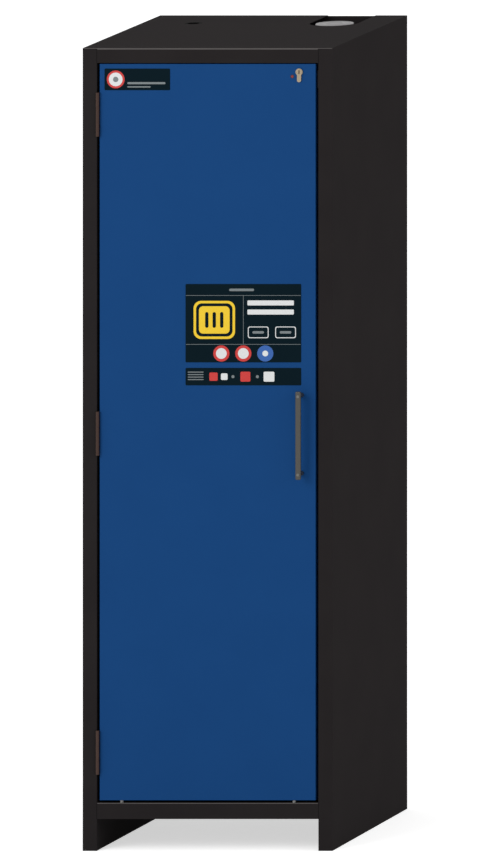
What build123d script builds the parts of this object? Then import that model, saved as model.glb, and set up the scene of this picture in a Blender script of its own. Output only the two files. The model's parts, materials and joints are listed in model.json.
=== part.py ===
from build123d import *

import os

os.makedirs("parts", exist_ok=True)

# ---------------------------------------------------------------- driving dimensions (mm)
cabinet_width = 603.0
cabinet_depth = 615.0
cabinet_height = 1938.0

sheet = 1.5  # casing sheet
liner = 1.0  # inner lining sheet
wall = 76.5  # side wall, outside to inside
back_board_thickness = 43.0
floor_height = 175.0  # interior floor above the ground
roof_build_up = 93.0  # interior ceiling below the top
deck_drop = 29.5  # insulation deck below the top

stile_width = 34.0
back_flange = 30.0
leg_lip = 15.0
base_height = 77.0
sill_height = 39.0
top_rail_height = 36.0
rail_lap = 30.0

# Door and its pocket
pocket_depth = 54.0
door_thickness = 50.0
door_edge_radius = 1.2
door_side_gap = 7.0
door_top_gap = 2.5
door_bottom_gap = 6.5
seal_gap = 0.3
seal_width = 14.0
seal_inset = 10.0
strip_thickness = 2.0
strip_width = 12.0
strip_setback = 38.0

# Hinges
hinge_length = 105.0
hinge_from_door_bottom = 115.5
hinge_from_door_top = 121.5
knuckle_radius = 4.5
knuckle_gap = 0.3
pin_radius = 2.5
running_clearance = 0.05
hinge_axis_proud = 5.0
leaf_thickness = 2.5
leaf_depth = 34.0
leaf_setback = 1.0

# Pull handle
handle_length = 213.0
handle_width = 13.0
handle_bar_depth = 10.0
handle_projection = 32.0
handle_post_radius = 5.5
handle_post_inset = 12.0
handle_backset = 33.5
handle_height = 1006.5
handle_edge_radius = 2.0
screw_radius = 2.5
screw_head_radius = 5.0
screw_head_height = 3.0
screw_engagement = 12.0
screw_clearance = 0.3

# Lock
lock_backset = 39.0
lock_below_door_top = 19.0
cylinder_radius = 8.5
cylinder_web = 10.0
cylinder_height = 33.0
cylinder_proud = 3.0
cylinder_length = 44.0
plug_radius = 6.5
plug_length = 32.0
keyway_width = 2.4
keyway_height = 8.6
keyway_depth = 14.0
lock_case_width = 66.0
lock_case_height = 56.0
lock_case_thickness = 20.0
lock_case_setback = 15.0
bolt_height = 18.0
bolt_thickness = 10.0
bolt_length = 25.0
bolt_drop = 18.0
bolt_throw = 12.0
bolt_clearance = 0.4
strike_margin = 12.0
lamp_backset = 56.0
lamp_below_door_top = 30.0
lamp_radius = 3.2
lamp_proud = 1.2
lamp_length = 12.0

# Sill buffers
buffer_from_left = 92.5
buffer_from_right = 94.5
buffer_radius = 4.0
buffer_setback = 7.0

# Exhaust and cable entry
exhaust_from_right = 135.0
exhaust_from_back = 143.0
duct_radius = 37.5
duct_wall = 1.5
duct_clearance = 0.3
notch_radius = 58.5
cap_radius = 45.0
cap_plate = 3.0
cap_skirt = 16.0
cap_skirt_wall = 2.0
cap_below_top = 1.0
spigot_flange_radius = 52.0
cable_from_left = 127.0
cable_from_back = 151.0
grommet_radius = 21.0
grommet_neck_radius = 18.0
cable_bore_radius = 14.0
grommet_tail = 6.0
supply_from_right = 190.0
supply_above_floor = 150.0

# Ceiling and wall fittings
valve_radius = 52.0
valve_lip = 4.0
valve_disc_radius = 29.0
valve_disc_drop = 12.0
sensor_radius = 40.0
sensor_base = 12.0
sensor_head_radius = 28.0
sensor_drop = 36.0
sensor_from_left = 200.0
sensor_behind_door = 150.0

# Fit-out
upright_width = 24.0
upright_depth = 10.0
upright_front_setback = 45.0
upright_rear_setback = 95.0
upright_end_gap = 20.0
slot_pitch = 75.0
slot_width = 6.0
slot_length = 22.0
shelf_count = 4
shelf_first = 325.0  # above the interior floor
shelf_pitch = 320.0
shelf_edge = 28.0
shelf_side_gap = 1.0
shelf_front_gap = 14.0
shelf_back_gap = 52.0
vent_slot_length = 90.0
vent_slot_width = 9.0
vent_columns = 3
vent_rows = 7
clip_reach = 10.0
clip_height = 14.0
tray_height = 60.0
tray_gap = 1.5
tray_sheet = 1.5
strip_box_width = 58.0
strip_box_depth = 42.0
strip_box_from_left = 165.0
strip_box_end = 110.0
outlet_radius = 19.5
outlet_depth = 16.0
outlet_pin_radius = 2.6
outlet_pin_spread = 19.0
outlet_pin_depth = 12.0
edge_radius = 3.0

# ---------------------------------------------------------------- places worked out from them
x_left = -cabinet_width / 2
x_right = cabinet_width / 2
y_front = (handle_projection - cabinet_depth) / 2
y_back = y_front + cabinet_depth
y_rebate = y_front + pocket_depth
y_inside = y_rebate + sheet
y_board_back = y_back - sheet
y_back_board = y_board_back - back_board_thickness
y_interior_back = y_back_board - liner
x_interior = cabinet_width / 2 - wall
x_board = x_interior + liner

z_top = cabinet_height
z_under_top = z_top - sheet
z_pocket_top = z_top - top_rail_height
z_sill = base_height + sill_height
z_base_board = base_height + sheet
z_floor = floor_height
z_ceiling = z_top - roof_build_up
z_deck = z_top - deck_drop

door_left = x_left + stile_width + door_side_gap
door_right = x_right - stile_width - door_side_gap
door_bottom = z_sill + door_bottom_gap
door_top = z_pocket_top - door_top_gap
y_door_back = y_front + door_thickness

hinge_x = x_left + stile_width + door_side_gap / 2
hinge_y = y_front - hinge_axis_proud
lock_x = door_right - lock_backset
lock_z = door_top - lock_below_door_top
hinge_low = door_bottom + hinge_from_door_bottom
hinge_high = door_top - hinge_from_door_top
hinge_heights = (hinge_low, (hinge_low + hinge_high) / 2, hinge_high)
exhaust_x = x_right - exhaust_from_right
exhaust_y = y_back - exhaust_from_back
cable_x = x_left + cable_from_left
cable_y = y_back - cable_from_back
supply_x = x_right - supply_from_right
supply_z = z_floor + supply_above_floor
spigot_top = z_top - cap_below_top - cap_plate
shelf_levels = [z_floor + shelf_first + n * shelf_pitch for n in range(shelf_count)]


def block(x, y, z, mode=Mode.ADD):
    """Add or cut a rectangular block from its low and high coordinate on each axis."""
    with BuildSketch(Plane.XY.offset(z[0])) as outline:
        with Locations(((x[0] + x[1]) / 2, (y[0] + y[1]) / 2)):
            Rectangle(x[1] - x[0], y[1] - y[0])
    extrude(to_extrude=outline.sketch, amount=z[1] - z[0], mode=mode)


def upright_hole(x, y, z, radius):
    """Cut a vertical round hole between two heights."""
    with BuildSketch(Plane.XY.offset(z[0])) as outline:
        with Locations((x, y)):
            Circle(radius)
    extrude(to_extrude=outline.sketch, amount=z[1] - z[0], mode=Mode.SUBTRACT)


def front_plane(y):
    """A plane facing the front at depth y, with X to the right and Z up."""
    return Plane(origin=(0, y, 0), x_dir=(1, 0, 0), z_dir=(0, -1, 0))


def save(builder, label):
    """Label a finished piece and write it as its own file."""
    builder.part.label = label
    export_step(builder.part, f"parts/{label}.step")


# ---------------------------------------------------------------- casing
def side_fold():
    """The folded section of a side casing, from the back flange round to the door rebate."""
    with BuildSketch() as section:
        with BuildLine():
            Polyline(
                (x_left + back_flange, y_back),
                (x_left, y_back),
                (x_left, y_front),
                (x_left + stile_width, y_front),
                (x_left + stile_width, y_rebate),
                (x_left + wall, y_rebate),
            )
            offset(amount=sheet, kind=Kind.INTERSECTION, side=Side.LEFT)
        make_face()
    return section.sketch


def side_casing():
    """Extrude the left fold and open its inner side at the leg, in the builder in use."""
    extrude(to_extrude=side_fold(), amount=z_under_top)
    block(
        (x_left + stile_width - sheet, x_left + wall),
        (y_front + leg_lip, y_inside),
        (0, base_height),
        Mode.SUBTRACT,
    )


strike_z = lock_z - bolt_drop
strike_y = y_front + lock_case_setback + lock_case_thickness / 2
bolt_hole_height = bolt_height + 2 * bolt_clearance
bolt_hole_thickness = bolt_thickness + 2 * bolt_clearance


def bolt_way(x0, x1):
    """Cut the bolt's clear way between two places along X."""
    block(
        (x0, x1),
        (strike_y - bolt_hole_thickness / 2, strike_y + bolt_hole_thickness / 2),
        (strike_z - bolt_hole_height / 2, strike_z + bolt_hole_height / 2),
        Mode.SUBTRACT,
    )


with BuildPart() as side_panel_left:
    side_casing()
save(side_panel_left, "side_panel_left")

with BuildPart() as right_blank:
    side_casing()
with BuildPart() as side_panel_right:
    mirror(right_blank.part, about=Plane.YZ)
    bolt_way(x_right - stile_width, x_right - stile_width + sheet)
save(side_panel_right, "side_panel_right")

with BuildPart() as back_panel:
    block(
        (x_left + back_flange, x_right - back_flange),
        (y_board_back, y_back),
        (base_height, z_under_top),
    )
    with BuildSketch(front_plane(y_back)):
        with Locations((supply_x, supply_z)):
            Circle(duct_radius + duct_clearance)
    extrude(amount=sheet, mode=Mode.SUBTRACT)
save(back_panel, "back_panel")

with BuildPart() as top_panel:
    with BuildSketch(Plane.XY.offset(z_under_top)):
        with Locations((0, (y_front + y_back) / 2)):
            Rectangle(cabinet_width, cabinet_depth)
        with Locations((exhaust_x, exhaust_y)):
            Circle(notch_radius, mode=Mode.SUBTRACT)
            Rectangle(
                2 * notch_radius,
                exhaust_from_back,
                align=(Align.CENTER, Align.MIN),
                mode=Mode.SUBTRACT,
            )
        with Locations((cable_x, cable_y)):
            Circle(grommet_radius, mode=Mode.SUBTRACT)
    extrude(amount=sheet)
save(top_panel, "top_panel")


def trim_rail(z_low, z_high):
    """Leave a rail's upright web only between the two side walls."""
    web = (y_rebate, y_inside)
    block((x_left + stile_width, x_left + wall), web, (z_low, z_high), Mode.SUBTRACT)
    block((x_right - wall, x_right - stile_width), web, (z_low, z_high), Mode.SUBTRACT)


with BuildPart() as top_rail:
    with BuildSketch(Plane.YZ.offset(x_left + stile_width)):
        with BuildLine():
            Polyline(
                (y_front + rail_lap, z_under_top),
                (y_front, z_under_top),
                (y_front, z_pocket_top),
                (y_rebate, z_pocket_top),
                (y_rebate, z_ceiling),
            )
            offset(amount=sheet, kind=Kind.INTERSECTION, side=Side.LEFT)
        make_face()
    extrude(amount=cabinet_width - 2 * stile_width)
    trim_rail(z_ceiling, z_pocket_top + sheet)
save(top_rail, "top_rail")

with BuildPart() as bottom_rail:
    with BuildSketch(Plane.YZ.offset(x_left + stile_width)):
        with BuildLine():
            Polyline(
                (y_inside, base_height),
                (y_front, base_height),
                (y_front, z_sill),
                (y_rebate, z_sill),
                (y_rebate, z_floor),
            )
            offset(amount=sheet, kind=Kind.INTERSECTION, side=Side.RIGHT)
        make_face()
    extrude(amount=cabinet_width - 2 * stile_width)
    trim_rail(z_base_board, z_floor)
    trim_rail(base_height, z_base_board)
save(bottom_rail, "bottom_rail")

with BuildPart() as base_panel:
    block((x_left + sheet, x_right - sheet), (y_inside, y_board_back), (base_height, z_base_board))
save(base_panel, "base_panel")

with BuildPart() as deck_sheet:
    block((x_left + sheet, x_right - sheet), (y_inside, y_board_back), (z_deck, z_deck + liner))
    upright_hole(exhaust_x, exhaust_y, (z_deck, z_deck + liner), duct_radius + duct_clearance)
    upright_hole(cable_x, cable_y, (z_deck, z_deck + liner), grommet_neck_radius)
save(deck_sheet, "deck_sheet")


# ---------------------------------------------------------------- fire boards
def side_board():
    """Extrude the left board, which also fills the stile, in the builder in use."""
    with BuildSketch(Plane.XY.offset(z_base_board)) as outline:
        with BuildLine():
            Polyline(
                (x_left + sheet, y_front + sheet),
                (x_left + stile_width - sheet, y_front + sheet),
                (x_left + stile_width - sheet, y_inside),
                (-x_board, y_inside),
                (-x_board, y_board_back),
                (x_left + sheet, y_board_back),
                close=True,
            )
        make_face()
    extrude(to_extrude=outline.sketch, amount=z_deck - z_base_board)


with BuildPart() as fire_board_left:
    side_board()
save(fire_board_left, "fire_board_left")

with BuildPart() as right_board_blank:
    side_board()
with BuildPart() as fire_board_right:
    mirror(right_board_blank.part, about=Plane.YZ)
    bolt_way(x_right - stile_width + sheet, x_right - stile_width + sheet + bolt_throw)
save(fire_board_right, "fire_board_right")

with BuildPart() as fire_board_back:
    block((-x_board, x_board), (y_back_board, y_board_back), (z_base_board, z_deck))
    with BuildSketch(front_plane(y_board_back)):
        with Locations((supply_x, supply_z)):
            Circle(duct_radius + duct_clearance)
    extrude(amount=back_board_thickness, mode=Mode.SUBTRACT)
save(fire_board_back, "fire_board_back")

with BuildPart() as fire_board_top:
    block((-x_board, x_board), (y_inside, y_back_board), (z_ceiling + liner, z_deck))
    upright_hole(exhaust_x, exhaust_y, (z_ceiling, z_deck), duct_radius + duct_clearance)
    upright_hole(cable_x, cable_y, (z_ceiling, z_deck), grommet_neck_radius)
save(fire_board_top, "fire_board_top")

with BuildPart() as fire_board_bottom:
    block((-x_board, x_board), (y_inside, y_back_board), (z_base_board, z_floor - liner))
save(fire_board_bottom, "fire_board_bottom")

# ---------------------------------------------------------------- liners
lining_z = (z_floor - liner, z_ceiling + liner)

with BuildPart() as liner_left:
    block((-x_board, -x_interior), (y_inside, y_back_board), lining_z)
save(liner_left, "liner_left")

with BuildPart() as liner_right:
    block((x_interior, x_board), (y_inside, y_back_board), lining_z)
save(liner_right, "liner_right")

with BuildPart() as liner_back:
    block((-x_interior, x_interior), (y_interior_back, y_back_board), lining_z)
    with BuildSketch(front_plane(y_back_board)):
        with Locations((supply_x, supply_z)):
            Circle(duct_radius + duct_clearance)
    extrude(amount=liner, mode=Mode.SUBTRACT)
save(liner_back, "liner_back")

with BuildPart() as liner_ceiling:
    ceiling_z = (z_ceiling, z_ceiling + liner)
    block((-x_interior, x_interior), (y_inside, y_interior_back), ceiling_z)
    upright_hole(exhaust_x, exhaust_y, ceiling_z, duct_radius + duct_clearance)
    upright_hole(cable_x, cable_y, ceiling_z, grommet_neck_radius)
save(liner_ceiling, "liner_ceiling")

with BuildPart() as liner_floor:
    block((-x_interior, x_interior), (y_inside, y_interior_back), (z_floor - liner, z_floor))
save(liner_floor, "liner_floor")

# Expanding strips on both flanks of the door pocket
with BuildPart() as pocket_strips:
    strip_y = (y_front + strip_setback, y_front + strip_setback + strip_width)
    strip_z = (z_sill, z_pocket_top)
    block((x_left + stile_width, x_left + stile_width + strip_thickness), strip_y, strip_z)
    block((x_right - stile_width - strip_thickness, x_right - stile_width), strip_y, strip_z)
save(pocket_strips, "pocket_strips")

# ---------------------------------------------------------------- door
with BuildPart() as cylinder_tool:
    with BuildSketch(front_plane(y_front + cylinder_length - cylinder_proud)):
        with Locations((lock_x, lock_z)):
            Circle(cylinder_radius)
        with Locations((lock_x, lock_z - (cylinder_height - cylinder_radius - cylinder_web / 2) / 2)):
            SlotCenterToCenter(
                cylinder_height - cylinder_radius - cylinder_web / 2, cylinder_web, rotation=90
            )
    extrude(amount=cylinder_length)

case_right = door_right - sheet
case_left = case_right - lock_case_width
case_y = (y_front + lock_case_setback, y_front + lock_case_setback + lock_case_thickness)
case_z = (strike_z - lock_case_height / 2, strike_z + lock_case_height / 2)
handle_x = door_right - handle_backset
post_offset = handle_length / 2 - handle_post_inset
post_places = [(handle_x, handle_height - post_offset), (handle_x, handle_height + post_offset)]
lamp_place = (door_right - lamp_backset, door_top - lamp_below_door_top)


def door_front_holes(y, depth):
    """Cut the handle screw holes and the lamp hole forwards from depth y."""
    with BuildSketch(front_plane(y)) as holes:
        with Locations(*post_places):
            Circle(screw_radius + screw_clearance)
        with Locations(lamp_place):
            Circle(lamp_radius)
    extrude(to_extrude=holes.sketch, amount=depth, mode=Mode.SUBTRACT)


with BuildPart() as door_outer_skin:
    block((door_left, door_right), (y_front, y_door_back), (door_bottom, door_top))
    offset(amount=-sheet, openings=door_outer_skin.faces().sort_by(Axis.Y)[-1])
    fillet(door_outer_skin.edges().filter_by(Axis.Z).group_by(Axis.Y)[0], radius=door_edge_radius)
    add(cylinder_tool.part, mode=Mode.SUBTRACT)
    door_front_holes(y_front + sheet, sheet)
    bolt_way(case_right, door_right)
save(door_outer_skin, "door_outer_skin")

core_x = (door_left + sheet, door_right - sheet)
core_z = (door_bottom + sheet, door_top - sheet)

with BuildPart() as door_core:
    block(core_x, (y_front + sheet, y_door_back - liner), core_z)
    block((case_left, case_right), case_y, case_z, Mode.SUBTRACT)
    add(cylinder_tool.part, mode=Mode.SUBTRACT)
    door_front_holes(y_front + sheet + lamp_length, lamp_length)
    with BuildSketch(front_plane(y_door_back - liner)):
        with Locations(*post_places):
            Circle(screw_radius + screw_clearance)
    extrude(amount=door_thickness - liner - sheet, mode=Mode.SUBTRACT)
save(door_core, "door_core")

with BuildPart() as door_inner_skin:
    block(core_x, (y_door_back - liner, y_door_back), core_z)
    with BuildSketch(front_plane(y_door_back)):
        with Locations(*post_places):
            Circle(screw_radius + screw_clearance)
    extrude(amount=liner, mode=Mode.SUBTRACT)
save(door_inner_skin, "door_inner_skin")

with BuildPart() as door_seal:
    seal_outer_width = door_right - door_left - 2 * seal_inset
    seal_outer_height = door_top - door_bottom - 2 * seal_inset
    with BuildSketch(front_plane(y_rebate - seal_gap)):
        with Locations((0, (door_bottom + door_top) / 2)):
            RectangleRounded(seal_outer_width, seal_outer_height, seal_width)
            Rectangle(
                seal_outer_width - 2 * seal_width,
                seal_outer_height - 2 * seal_width,
                mode=Mode.SUBTRACT,
            )
    extrude(amount=pocket_depth - seal_gap - door_thickness)
save(door_seal, "door_seal")

# ---------------------------------------------------------------- hinges
knuckle_length = (hinge_length - 2 * knuckle_gap) / 3


def knuckle(z_low, bore_radius):
    """Add one bored knuckle on the hinge axis."""
    with BuildSketch(Plane.XY.offset(z_low)) as ring:
        with Locations((hinge_x, hinge_y)):
            Circle(knuckle_radius)
    extrude(to_extrude=ring.sketch, amount=knuckle_length)
    upright_hole(hinge_x, hinge_y, (z_low, z_low + knuckle_length), bore_radius)


def leaf(side, z_low, z_high, tongues):
    """Add a leaf on one flank of the gap, with a tongue to each of its knuckles."""
    flank = hinge_x + side * door_side_gap / 2
    across = sorted((flank, flank - side * leaf_thickness))
    block(across, (y_front + leaf_setback, y_front + leaf_depth), (z_low, z_high))
    for tongue in tongues:
        block(across, (hinge_y, y_front + leaf_setback), (tongue, tongue + knuckle_length))


with BuildPart() as hinge_frame_leaves:
    for height in hinge_heights:
        low = height - hinge_length / 2
        high = height + hinge_length / 2
        ends = (low, high - knuckle_length)
        leaf(-1, low, high, ends)
        for end in ends:
            knuckle(end, pin_radius + running_clearance)
save(hinge_frame_leaves, "hinge_frame_leaves")

with BuildPart() as hinge_door_leaves:
    for height in hinge_heights:
        middle = height - knuckle_length / 2
        leaf(1, height - hinge_length / 2, height + hinge_length / 2, (middle,))
        knuckle(middle, pin_radius + running_clearance)
save(hinge_door_leaves, "hinge_door_leaves")

with BuildPart() as hinge_pins:
    for height in hinge_heights:
        with BuildSketch(Plane.XY.offset(height - hinge_length / 2)) as shank:
            with Locations((hinge_x, hinge_y)):
                Circle(pin_radius)
        extrude(to_extrude=shank.sketch, amount=hinge_length)
        with BuildSketch(Plane.XY.offset(height + hinge_length / 2)) as head:
            with Locations((hinge_x, hinge_y)):
                Circle(knuckle_radius)
        extrude(to_extrude=head.sketch, amount=liner)
save(hinge_pins, "hinge_pins")

# ---------------------------------------------------------------- handle
with BuildPart() as handle_bar:
    with BuildSketch(front_plane(y_front - handle_projection + handle_bar_depth)):
        with Locations((handle_x, handle_height)):
            Rectangle(handle_width, handle_length)
    extrude(amount=handle_bar_depth)
    fillet(handle_bar.faces().sort_by(Axis.Y)[0].edges(), radius=handle_edge_radius)
save(handle_bar, "handle_bar")

with BuildPart() as handle_posts:
    with BuildSketch(front_plane(y_front)):
        with Locations(*post_places):
            Circle(handle_post_radius)
            Circle(screw_radius, mode=Mode.SUBTRACT)
    extrude(amount=handle_projection - handle_bar_depth)
save(handle_posts, "handle_posts")

with BuildPart() as handle_screws:
    with BuildSketch(front_plane(y_door_back)):
        with Locations(*post_places):
            Circle(screw_radius)
    extrude(amount=door_thickness + screw_engagement)
    with BuildSketch(front_plane(y_door_back + screw_head_height)):
        with Locations(*post_places):
            Circle(screw_head_radius)
    extrude(amount=screw_head_height)
save(handle_screws, "handle_screws")

# ---------------------------------------------------------------- lock
with BuildPart() as lock_cylinder:
    add(cylinder_tool.part)
    with BuildSketch(front_plane(y_front - cylinder_proud + plug_length)):
        with Locations((lock_x, lock_z)):
            Circle(plug_radius + running_clearance)
    extrude(amount=plug_length, mode=Mode.SUBTRACT)
save(lock_cylinder, "lock_cylinder")

with BuildPart() as lock_plug:
    with BuildSketch(front_plane(y_front - cylinder_proud + plug_length)):
        with Locations((lock_x, lock_z)):
            Circle(plug_radius)
    extrude(amount=plug_length)
    with BuildSketch(front_plane(y_front - cylinder_proud + keyway_depth)):
        with Locations((lock_x, lock_z)):
            Rectangle(keyway_width, keyway_height)
    extrude(amount=keyway_depth, mode=Mode.SUBTRACT)
save(lock_plug, "lock_plug")

with BuildPart() as lock_case:
    block((case_left, case_right), case_y, case_z)
    add(cylinder_tool.part, mode=Mode.SUBTRACT)
    bolt_way(door_right - bolt_length - bolt_clearance, case_right)
save(lock_case, "lock_case")

with BuildPart() as lock_bolt:
    block(
        (door_right - bolt_length, door_right - bolt_clearance),
        (strike_y - bolt_thickness / 2, strike_y + bolt_thickness / 2),
        (strike_z - bolt_height / 2, strike_z + bolt_height / 2),
    )
save(lock_bolt, "lock_bolt")

with BuildPart() as strike_plate:
    block(
        (x_right - stile_width - strip_thickness, x_right - stile_width),
        (y_front + sheet, y_front + strip_setback - seal_gap),
        (
            strike_z - bolt_hole_height / 2 - strike_margin,
            strike_z + bolt_hole_height / 2 + strike_margin,
        ),
    )
    bolt_way(x_right - stile_width - strip_thickness, x_right - stile_width)
save(strike_plate, "strike_plate")

with BuildPart() as status_lamp:
    with BuildSketch(front_plane(y_front + sheet + lamp_length)):
        with Locations(lamp_place):
            Circle(lamp_radius)
    extrude(amount=lamp_length + sheet + lamp_proud)
    chamfer(status_lamp.faces().sort_by(Axis.Y)[0].edges(), length=lamp_proud / 2)
save(status_lamp, "status_lamp")

buffer_places = (x_left + buffer_from_left, x_right - buffer_from_right)

with BuildPart() as sill_buffers:
    with BuildSketch(Plane.XY.offset(z_sill)):
        with Locations(*[(place, y_front + buffer_setback) for place in buffer_places]):
            Circle(buffer_radius)
    extrude(amount=door_bottom_gap - seal_gap)
save(sill_buffers, "sill_buffers")


# ---------------------------------------------------------------- ventilation and cable entry
def disc_valve(plane):
    """Add a disc valve whose collar lies on a plane and whose disc stands off along its normal."""
    with BuildSketch(plane) as collar:
        Circle(valve_radius)
        Circle(duct_radius - duct_wall, mode=Mode.SUBTRACT)
    extrude(to_extrude=collar.sketch, amount=valve_lip)
    with BuildSketch(plane) as bridge:
        Rectangle(2 * duct_radius, valve_lip * 2)
    extrude(to_extrude=bridge.sketch, amount=valve_lip)
    with BuildSketch(plane) as stem:
        Circle(valve_lip)
    extrude(to_extrude=stem.sketch, amount=valve_disc_drop)
    with BuildSketch(plane.offset(valve_disc_drop)) as disc:
        Circle(valve_disc_radius)
    extrude(to_extrude=disc.sketch, amount=valve_lip, taper=30)


ceiling_plane = Plane(origin=(exhaust_x, exhaust_y, z_ceiling), x_dir=(1, 0, 0), z_dir=(0, 0, -1))
supply_plane = Plane(
    origin=(supply_x, y_interior_back, supply_z), x_dir=(1, 0, 0), z_dir=(0, -1, 0)
)

with BuildPart() as exhaust_valve:
    disc_valve(ceiling_plane)
save(exhaust_valve, "exhaust_valve")

with BuildPart() as supply_valve:
    disc_valve(supply_plane)
save(supply_valve, "supply_valve")

with BuildPart() as exhaust_spigot:
    with BuildSketch(Plane.XY.offset(z_ceiling)):
        with Locations((exhaust_x, exhaust_y)):
            Circle(duct_radius)
            Circle(duct_radius - duct_wall, mode=Mode.SUBTRACT)
    extrude(amount=spigot_top - z_ceiling)
    with BuildSketch(Plane.XY.offset(z_deck + liner)):
        with Locations((exhaust_x, exhaust_y)):
            Circle(spigot_flange_radius)
            Circle(duct_radius - duct_wall, mode=Mode.SUBTRACT)
    extrude(amount=sheet)
save(exhaust_spigot, "exhaust_spigot")

with BuildPart() as exhaust_cap:
    with BuildSketch(Plane.XY.offset(spigot_top)):
        with Locations((exhaust_x, exhaust_y)):
            Circle(cap_radius)
    extrude(amount=cap_plate)
    with BuildSketch(Plane.XY.offset(spigot_top - cap_skirt)):
        with Locations((exhaust_x, exhaust_y)):
            Circle(duct_radius + running_clearance + cap_skirt_wall)
            Circle(duct_radius + running_clearance, mode=Mode.SUBTRACT)
    extrude(amount=cap_skirt)
    chamfer(exhaust_cap.faces().sort_by(Axis.Z)[-1].edges(), length=cap_below_top)
save(exhaust_cap, "exhaust_cap")

with BuildPart() as supply_duct:
    with BuildSketch(front_plane(y_back)):
        with Locations((supply_x, supply_z)):
            Circle(duct_radius)
            Circle(duct_radius - duct_wall, mode=Mode.SUBTRACT)
    extrude(amount=y_back - y_interior_back)
save(supply_duct, "supply_duct")

with BuildPart() as supply_grille:
    with BuildSketch(front_plane(y_back)):
        with Locations((supply_x, supply_z)):
            Circle(duct_radius - duct_wall)
            with GridLocations(0, vent_slot_width * 1.6, 1, 4):
                SlotOverall(duct_radius, vent_slot_width * 0.7, mode=Mode.SUBTRACT)
    extrude(amount=sheet)
save(supply_grille, "supply_grille")

with BuildPart() as cable_grommet:
    with BuildSketch(Plane.XY.offset(z_under_top)):
        with Locations((cable_x, cable_y)):
            Circle(grommet_radius)
            Circle(cable_bore_radius, mode=Mode.SUBTRACT)
    extrude(amount=sheet)
    with BuildSketch(Plane.XY.offset(z_under_top - grommet_tail)):
        with Locations((cable_x, cable_y)):
            Circle(grommet_neck_radius)
            Circle(cable_bore_radius, mode=Mode.SUBTRACT)
    extrude(amount=grommet_tail)
save(cable_grommet, "cable_grommet")

with BuildPart() as cable_conduit:
    with BuildSketch(Plane.XY.offset(z_ceiling)):
        with Locations((cable_x, cable_y)):
            Circle(grommet_neck_radius)
            Circle(grommet_neck_radius - duct_wall, mode=Mode.SUBTRACT)
    extrude(amount=z_under_top - grommet_tail - z_ceiling)
save(cable_conduit, "cable_conduit")

with BuildPart() as smoke_sensor:
    sensor_origin = (x_left + sensor_from_left, y_inside + sensor_behind_door, z_ceiling)
    sensor_plane = Plane(origin=sensor_origin, x_dir=(1, 0, 0), z_dir=(0, 0, -1))
    with BuildSketch(sensor_plane):
        Circle(sensor_radius)
    extrude(amount=sensor_base)
    with BuildSketch(sensor_plane.offset(sensor_base)):
        Circle(sensor_head_radius)
    extrude(amount=sensor_drop - sensor_base, taper=15)
save(smoke_sensor, "smoke_sensor")

# ---------------------------------------------------------------- shelves and fit-out
upright_z = (z_floor + tray_height + upright_end_gap, z_ceiling - upright_end_gap)
upright_rows = (y_inside + upright_front_setback, y_interior_back - upright_rear_setback)
x_web = x_interior - upright_depth
slot_count = int((upright_z[1] - upright_z[0]) // slot_pitch) - 1

with BuildPart() as shelf_uprights:
    for side in (-1, 1):
        for row in upright_rows:
            across = sorted((side * x_interior, side * x_web))
            hollow = sorted((side * x_interior, side * (x_web + sheet)))
            inner = (row - upright_width / 2 + sheet, row + upright_width / 2 - sheet)
            block(across, (row - upright_width / 2, row + upright_width / 2), upright_z)
            block(hollow, inner, upright_z, Mode.SUBTRACT)
    with BuildSketch(Plane.YZ.offset(-x_interior)) as slots:
        with Locations(*[(row, sum(upright_z) / 2) for row in upright_rows]):
            with GridLocations(0, slot_pitch, 1, slot_count):
                Rectangle(slot_width, slot_length)
    extrude(to_extrude=slots.sketch, amount=2 * x_interior, mode=Mode.SUBTRACT)
save(shelf_uprights, "shelf_uprights")

with BuildPart() as shelf_clips:
    for level in shelf_levels:
        for side in (-1, 1):
            for row in upright_rows:
                across = sorted((side * x_web, side * (x_web - clip_reach)))
                clip_z = (level - shelf_edge - clip_height, level - shelf_edge)
                block(across, (row - upright_width / 2, row + upright_width / 2), clip_z)
save(shelf_clips, "shelf_clips")

shelf_half = x_web - shelf_side_gap
shelf_y = (y_inside + shelf_front_gap, y_interior_back - shelf_back_gap)
shelf_mid = (shelf_y[0] + shelf_y[1]) / 2
vent_pitch_x = 2 * shelf_half / (vent_columns + 0.5)
vent_pitch_y = (shelf_y[1] - shelf_y[0]) / (vent_rows + 1)

for number, level in enumerate(shelf_levels, start=1):
    with BuildPart() as shelf:
        block((-shelf_half, shelf_half), shelf_y, (level - shelf_edge, level))
        offset(amount=-tray_sheet, openings=shelf.faces().sort_by(Axis.Z)[0])
        with BuildSketch(Plane.XY.offset(level - tray_sheet)):
            with Locations((0, shelf_mid)):
                with GridLocations(vent_pitch_x, vent_pitch_y, vent_columns, vent_rows):
                    Rectangle(vent_slot_length, vent_slot_width)
        extrude(amount=tray_sheet, mode=Mode.SUBTRACT)
    save(shelf, f"shelf_{number}")

with BuildPart() as sump_tray:
    tray_x = (-x_interior + tray_gap, x_interior - tray_gap)
    block(tray_x, (y_inside + tray_gap, y_interior_back - tray_gap), (z_floor, z_floor + tray_height))
    offset(amount=-tray_sheet, openings=sump_tray.faces().sort_by(Axis.Z)[-1])
save(sump_tray, "sump_tray")

levels = [z_floor + tray_height] + shelf_levels + [z_ceiling]
outlet_x = x_left + strip_box_from_left
outlet_places = [
    (outlet_x, (low + high) / 2) for low, high in zip(levels[:-1], levels[1:], strict=True)
]

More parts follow.
